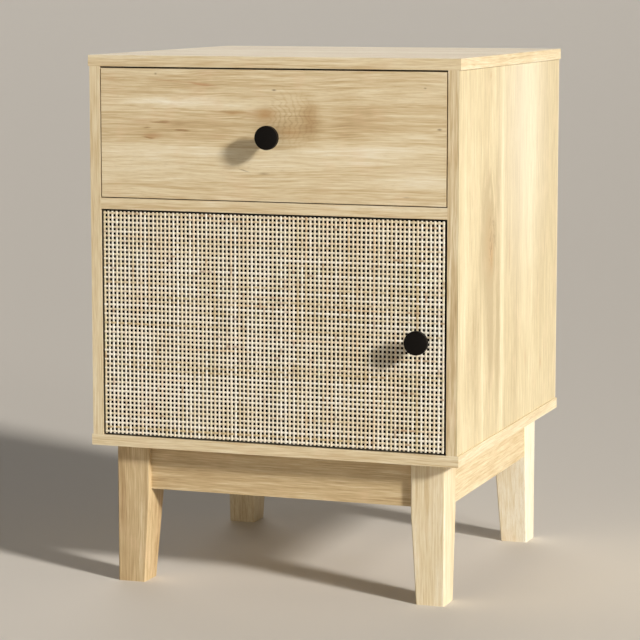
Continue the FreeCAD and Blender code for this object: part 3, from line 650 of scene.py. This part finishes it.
BACK_BOARD = speckled("back_board", colour(226, 212, 184), colour(214, 196, 162), 0.6)
BOX_COLOURS = colour(232, 220, 196), colour(222, 206, 176)
LONG_BOX_BOARD = grained_board("box_board_y", *BOX_COLOURS, along=Y)
CROSS_BOX_BOARD = grained_board("box_board_x", *BOX_COLOURS, along=X)
BLACK_BOARD = speckled("black_board", colour(15, 11, 8), colour(10, 7, 5), 0.6, gloss=0.12)
BLACK_KNOB = speckled(
    "black_knob", colour(14, 10, 7), colour(9, 6, 4), 0.5, scale=2500.0, gloss=0.15
)
BEECH = speckled("beech_dowel", colour(220, 190, 150), colour(206, 172, 130), 0.6)
PLASTIC = speckled("catch_plastic", colour(120, 86, 58), colour(108, 76, 50), 0.4)
ZINC = metal("zinc_screws", colour(196, 198, 200), colour(176, 178, 182), 0.32)
CAM_ZINC = metal("cam_zinc", colour(176, 177, 178), colour(156, 157, 160), 0.4)
BRACKET = metal("bracket_steel", colour(190, 192, 196), colour(168, 170, 176), 0.36)
SLIDE = metal("slide_steel", colour(190, 193, 197), colour(172, 175, 180), 0.3)
NICKEL = metal("hinge_nickel", colour(200, 198, 192), colour(184, 181, 175), 0.26)

FINISHES = (
    # slot, material, nodes
    ("back_board", BACK_BOARD, ["back_panel"]),
    ("drawer_box_board", LONG_BOX_BOARD, ["drawer_left_side", "drawer_right_side"]),
    ("drawer_box_board", CROSS_BOX_BOARD, ["drawer_back", "drawer_bottom"]),
    ("black_board", BLACK_BOARD, ["door_panel"]),
    ("black_knob", BLACK_KNOB, ["drawer_knob", "door_knob"]),
    ("beech_dowel", BEECH, ["panel_dowels"]),
    ("catch_plastic", PLASTIC, ["magnetic_catch"]),
    ("cam_zinc", CAM_ZINC, ["cam_locks", "drawer_cam_locks"]),
    ("bracket_steel", BRACKET, ["corner_brackets"]),
    (
        "zinc_screws",
        ZINC,
        [
            "cam_bolts", "back_panel_nails", "cabinet_wood_screws", "hanger_bolts",
            "hanger_nuts", "apron_screws", "cabinet_rail_screws", "hinge_arm_screws",
            "drawer_cam_bolts", "drawer_box_screws", "drawer_knob_screw",
            "drawer_rail_screws", "door_knob_screw", "door_wood_screws",
        ],
    ),
    (
        "slide_steel",
        SLIDE,
        [
            side + part
            for side in ("left_", "right_")
            for part in (
                "cabinet_rail", "middle_rail", "drawer_rail",
                "outer_ball_cage", "inner_ball_cage",
            )
        ],
    ),
    (
        "hinge_nickel",
        NICKEL,
        [
            "upper_hinge_arm", "lower_hinge_arm", "upper_hinge_plate",
            "lower_hinge_plate", "upper_hinge_cup", "lower_hinge_cup", "hinge_pins",
            "catch_strike",
        ],
    ),
)
for slot, material, nodes in FINISHES:
    for node in nodes:
        paint(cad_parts[node], material)


# ---------------------------------------------------------------- floor, light and camera


FLOOR_REACH = 200.0              # so far that the floor's edge looks like a horizon
SUN_HEADING = Vector((-2.15, 1.0, -0.97)).normalized()
LAMP_WHITE = colour(254, 250, 244)
FILL_TARGET = (0, 0, 0.3)
CAMERA_ACROSS = 0.0535           # the point it looks at, in the drawer front's plane
CAMERA_UP = 0.2908
CAMERA_TURN = 19.47              # degrees to the right of the front
CAMERA_RISE = 7.46               # degrees above level
CAMERA_DISTANCE = 2.6293
CAMERA_LENS = 146.4              # mm
CAMERA_SENSOR = 36.0             # mm


def studio_floor():
    """A flat pale floor that reaches past the top of the camera's view."""
    mesh = bpy.data.meshes.new("floor")
    sides = ((-1, -1), (1, -1), (1, 1), (-1, 1))
    corners = [(x * FLOOR_REACH, y * FLOOR_REACH, 0) for x, y in sides]
    mesh.from_pydata(corners, [], [(0, 1, 2, 3)])
    floor = bpy.data.objects.new("floor", mesh)
    bpy.context.scene.collection.objects.link(floor)
    graph = Graph("floor_paper")
    paint(floor, graph.finish(base_color=colour(212, 206, 197), roughness=0.8))


def light(name, kind, place, target, energy, shade, **settings):
    """A lamp at place that shines at target."""
    data = bpy.data.lights.new(name, kind)
    data.energy = energy
    data.color = shade[:3]
    for key, value in settings.items():
        setattr(data, key, value)
    obj = bpy.data.objects.new(name, data)
    obj.location = place
    obj.rotation_mode = "QUATERNION"
    obj.rotation_quaternion = (Vector(target) - Vector(place)).to_track_quat("-Z", "Y")
    bpy.context.scene.collection.objects.link(obj)


def sky():
    """A soft glow from all round, pale near the horizon and faint overhead."""
    world = bpy.data.worlds.new("world")
    world.use_nodes = True
    nodes, links = world.node_tree.nodes, world.node_tree.links
    direction = nodes.new("ShaderNodeTexCoord").outputs["Generated"]
    height = nodes.new("ShaderNodeSeparateXYZ")
    level = nodes.new("ShaderNodeMapRange")
    level.inputs["From Min"].default_value = math.sin(math.radians(9.0))
    level.inputs["From Max"].default_value = math.sin(math.radians(20.0))
    level.inputs["To Min"].default_value = 0.5
    level.inputs["To Max"].default_value = 0.05
    links.new(direction, height.inputs[0])
    links.new(height.outputs["Z"], level.inputs["Value"])
    links.new(level.outputs[0], nodes["Background"].inputs["Strength"])
    nodes["Background"].inputs["Color"].default_value = colour(246, 238, 227)
    bpy.context.scene.world = world


def look_from(aim, azimuth, elevation, distance, lens):
    """The camera looks at aim from azimuth degrees to the right of the front."""
    turn, tilt = math.radians(azimuth), math.radians(elevation)
    back = Vector(
        (
            math.sin(turn) * math.cos(tilt),
            -math.cos(turn) * math.cos(tilt),
            math.sin(tilt),
        )
    )
    data = bpy.data.cameras.new("camera")
    data.lens = lens
    data.sensor_width = CAMERA_SENSOR
    obj = bpy.data.objects.new("camera", data)
    obj.location = aim + back * distance
    obj.rotation_mode = "QUATERNION"
    obj.rotation_quaternion = (-back).to_track_quat("-Z", "Y")
    bpy.context.scene.collection.objects.link(obj)
    bpy.context.scene.camera = obj


studio_floor()
light(
    "key", "SUN", -4 * SUN_HEADING, (0, 0, 0), 3.9, LAMP_WHITE,
    angle=math.radians(7.0),
)
light(
    "near_key", "AREA", (1.51, -0.92, 1.14), (0, -0.19, 0.35), 8.0, LAMP_WHITE,
    shape="DISK", size=0.3,
)
light(
    "fill", "SUN", (-1.6, -2.6, 1.4), FILL_TARGET, 0.2, colour(255, 244, 230),
    angle=math.radians(45.0),
)
light(
    "back_fill", "SUN", (-1.4, 3.0, 1.1), FILL_TARGET, 1.0, colour(255, 252, 248),
    angle=math.radians(50.0),
)
sky()
bpy.context.scene.view_settings.view_transform = "Standard"

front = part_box("drawer_front")[0][Y]
look_from(
    Vector((CAMERA_ACROSS, front, CAMERA_UP)),
    CAMERA_TURN, CAMERA_RISE, CAMERA_DISTANCE, CAMERA_LENS,
)
